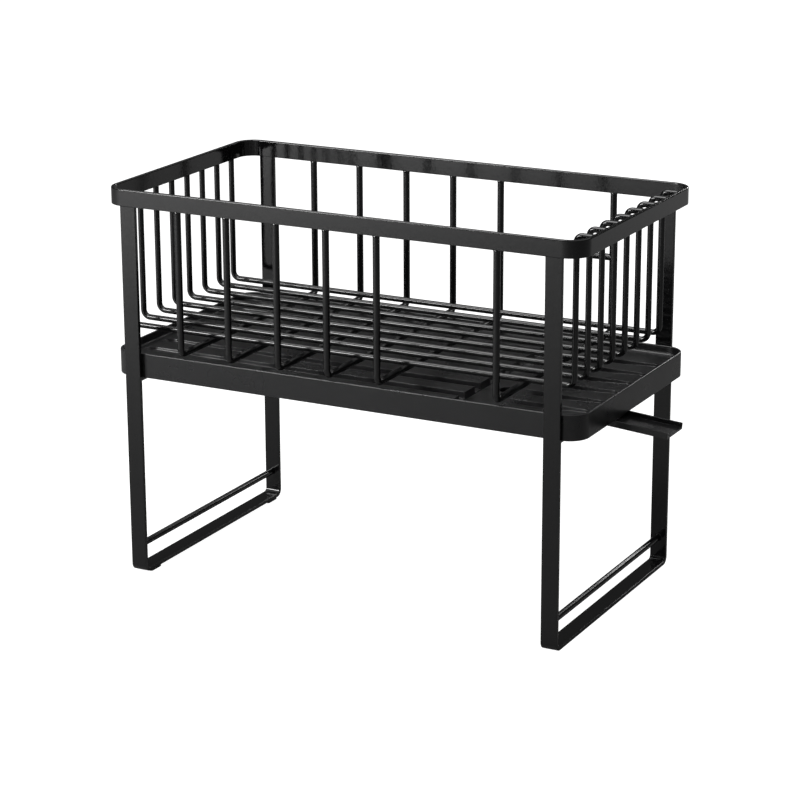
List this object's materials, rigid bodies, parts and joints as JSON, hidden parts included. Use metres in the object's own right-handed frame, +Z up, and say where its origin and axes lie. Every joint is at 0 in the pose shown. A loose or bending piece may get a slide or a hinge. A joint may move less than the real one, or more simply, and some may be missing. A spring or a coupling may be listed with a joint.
{
  "type": "dish drying rack",
  "caption": "Black steel wire dish rack: basket in a flat-bar rim, two flat-bar leg frames, slide-out ribbed drip tray and a sloping drain spout.",
  "frame": {"origin": "middle of the bounding box on the surface the feet stand on", "axes": "+Z up, +X along the rack towards the drain spout, +Y towards the back"},
  "size_m": [0.4968, 0.2426, 0.35],
  "materials": {
    "coated_bar": "semi-gloss black powder coat on flat steel bar",
    "coated_wire": "semi-gloss black powder coat on round steel wire",
    "tray_plastic": "satin black moulded polypropylene",
    "spout_plastic": "satin black moulded polypropylene",
    "pad_rubber": "matt dark rubber"
  },
  "bodies": {
    "frame": {"rim_band": "coated_bar", "left_leg_frame": "coated_bar", "right_leg_frame": "coated_bar", "left_cross_rod": "coated_wire", "right_cross_rod": "coated_wire", "cross_wire_1": "coated_wire", "cross_wire_2": "coated_wire", "cross_wire_3": "coated_wire", "cross_wire_4": "coated_wire", "cross_wire_5": "coated_wire", "cross_wire_6": "coated_wire", "long_wire_1": "coated_wire", "long_wire_2": "coated_wire", "long_wire_3": "coated_wire", "long_wire_4": "coated_wire", "long_wire_5": "coated_wire", "long_wire_6": "coated_wire", "long_wire_7": "coated_wire", "long_wire_8": "coated_wire", "back_rail": "coated_wire", "left_front_peg": "coated_wire", "left_back_peg": "coated_wire", "right_front_peg": "coated_wire", "right_back_peg": "coated_wire", "left_front_pad": "pad_rubber", "left_back_pad": "pad_rubber"},
    "tray": {"drip_tray": "tray_plastic"},
    "spout": {"drain_spout": "spout_plastic"}
  },
  "joints": [
    {"name": "tray_slide", "type": "slide", "parent": "frame", "child": "tray", "axis": [1, 0, 0], "range_m": [0, 0.46]},
    {"name": "spout_slide", "type": "slide", "parent": "tray", "child": "spout", "axis": [0.9968, 0, -0.0802], "range_m": [0, 0.13]}
  ]
}
